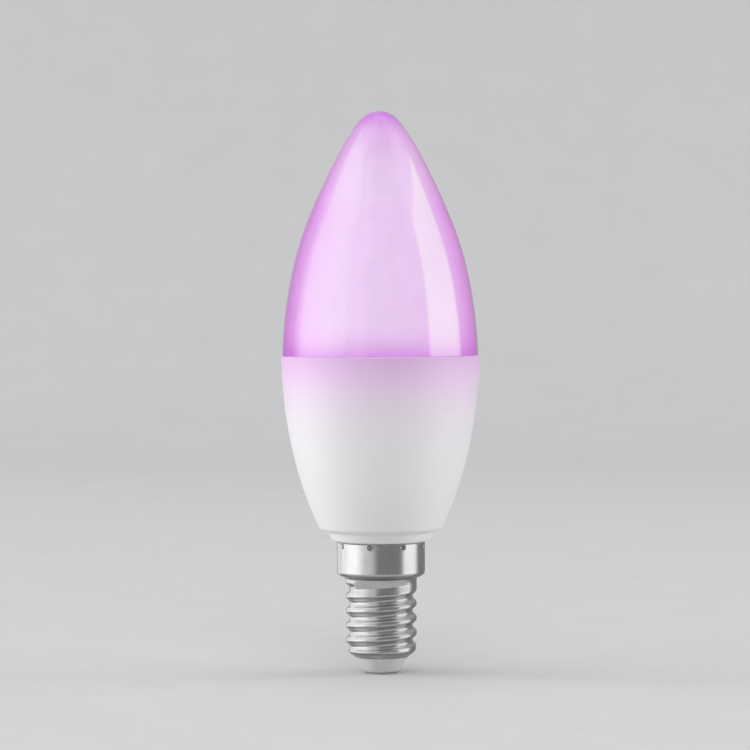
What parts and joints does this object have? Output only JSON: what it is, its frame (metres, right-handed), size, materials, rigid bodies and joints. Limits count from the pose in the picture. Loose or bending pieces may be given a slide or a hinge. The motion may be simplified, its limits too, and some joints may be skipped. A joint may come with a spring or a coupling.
{
  "type": "smart led candle bulb",
  "caption": "Colour-changing candle-shaped LED bulb with a frosted pointed diffuser, white plastic housing and a small Edison screw cap.",
  "frame": {"origin": "end face of the centre contact, on the lamp's axis", "axes": "+Z along the lamp's axis from the cap's contact to the diffuser's tip, -Y towards the viewer, +X to the viewer's right"},
  "size_m": [0.0382, 0.0382, 0.1082],
  "materials": {
    "frosted_polycarbonate": "frosted, glowing from inside",
    "white_housing_plastic": "satin",
    "silicone_adhesive": "matt",
    "nickel_plated_brass": "satin nickel plate",
    "insulator_glass": "off-white, moulded",
    "contact_brass": "bare",
    "cup_aluminium": "deep drawn",
    "thermal_compound": "matt paste",
    "board_aluminium": "rolled",
    "white_solder_mask": "satin",
    "led_package_white": "moulded",
    "warm_phosphor": "silicone with phosphor",
    "cool_phosphor": "silicone with phosphor",
    "red_die": "bare chip",
    "green_die": "bare chip",
    "blue_die": "bare chip",
    "clear_resin": "clear",
    "white_socket_plastic": "moulded nylon",
    "black_header_plastic": "moulded",
    "gold_plate": "flash gold",
    "green_circuit_board": "solder mask on glass laminate",
    "capacitor_sleeve": "shrunk sleeve",
    "tinned_copper": "tinned",
    "ferrite": "sintered",
    "bobbin_phenolic": "moulded",
    "winding_tape": "polyester tape",
    "enamelled_copper": "enamelled",
    "varistor_epoxy": "dipped",
    "resistor_lacquer": "dipped",
    "heat_shrink": "shrunk tube",
    "wire_insulation": "extruded",
    "chip_plastic": "moulded",
    "chip_resistor_body": "glazed top",
    "chip_capacitor_body": "fired",
    "solder": "bright",
    "blue_circuit_board": "solder mask on glass laminate",
    "crystal_can": "lid ground",
    "antenna_copper": "gold flash on copper"
  },
  "bodies": {
    "root": {"base_insulator": "insulator_glass", "blue_led_dies": "blue_die", "bridge_rectifier": "chip_plastic", "centre_contact": "contact_brass", "chip_capacitors": "chip_capacitor_body", "chip_resistors": "chip_resistor_body", "cool_white_leds": "led_package_white", "cool_white_phosphor": "cool_phosphor", "diffuser": "frosted_polycarbonate", "diffuser_adhesive_ring": "silicone_adhesive", "driver_board": "green_circuit_board", "driver_controller_ic": "chip_plastic", "filter_choke_core": "ferrite", "filter_choke_leads": "tinned_copper", "filter_choke_winding": "enamelled_copper", "fusible_resistor": "resistor_lacquer", "green_led_dies": "green_die", "header_pins": "gold_plate", "heat_sink_cup": "cup_aluminium", "housing": "white_housing_plastic", "input_capacitor": "capacitor_sleeve", "input_capacitor_leads": "tinned_copper", "led_board": "board_aluminium", "led_board_socket": "white_socket_plastic", "led_board_solder_mask": "white_solder_mask", "led_colour_driver_ic": "chip_plastic", "live_lead": "tinned_copper", "neutral_wire": "wire_insulation", "output_capacitor": "capacitor_sleeve", "output_capacitor_leads": "tinned_copper", "pin_header_strip": "black_header_plastic", "power_diodes": "chip_plastic", "printed_antenna": "antenna_copper", "radio_chip": "chip_plastic", "radio_crystal": "crystal_can", "radio_module_board": "blue_circuit_board", "radio_module_solder": "solder", "radio_passives": "chip_capacitor_body", "red_led_dies": "red_die", "resistor_board_lead": "tinned_copper", "resistor_heat_shrink_sleeve": "heat_shrink", "rgb_led_packages": "led_package_white", "rgb_led_resin": "clear_resin", "screw_shell": "nickel_plated_brass", "solder_joints": "solder", "thermal_compound_ring": "thermal_compound", "transformer_bobbin": "bobbin_phenolic", "transformer_core": "ferrite", "transformer_pins": "tinned_copper", "transformer_winding": "winding_tape", "varistor": "varistor_epoxy", "varistor_leads": "tinned_copper", "warm_white_leds": "led_package_white", "warm_white_phosphor": "warm_phosphor"}
  },
  "joints": []
}
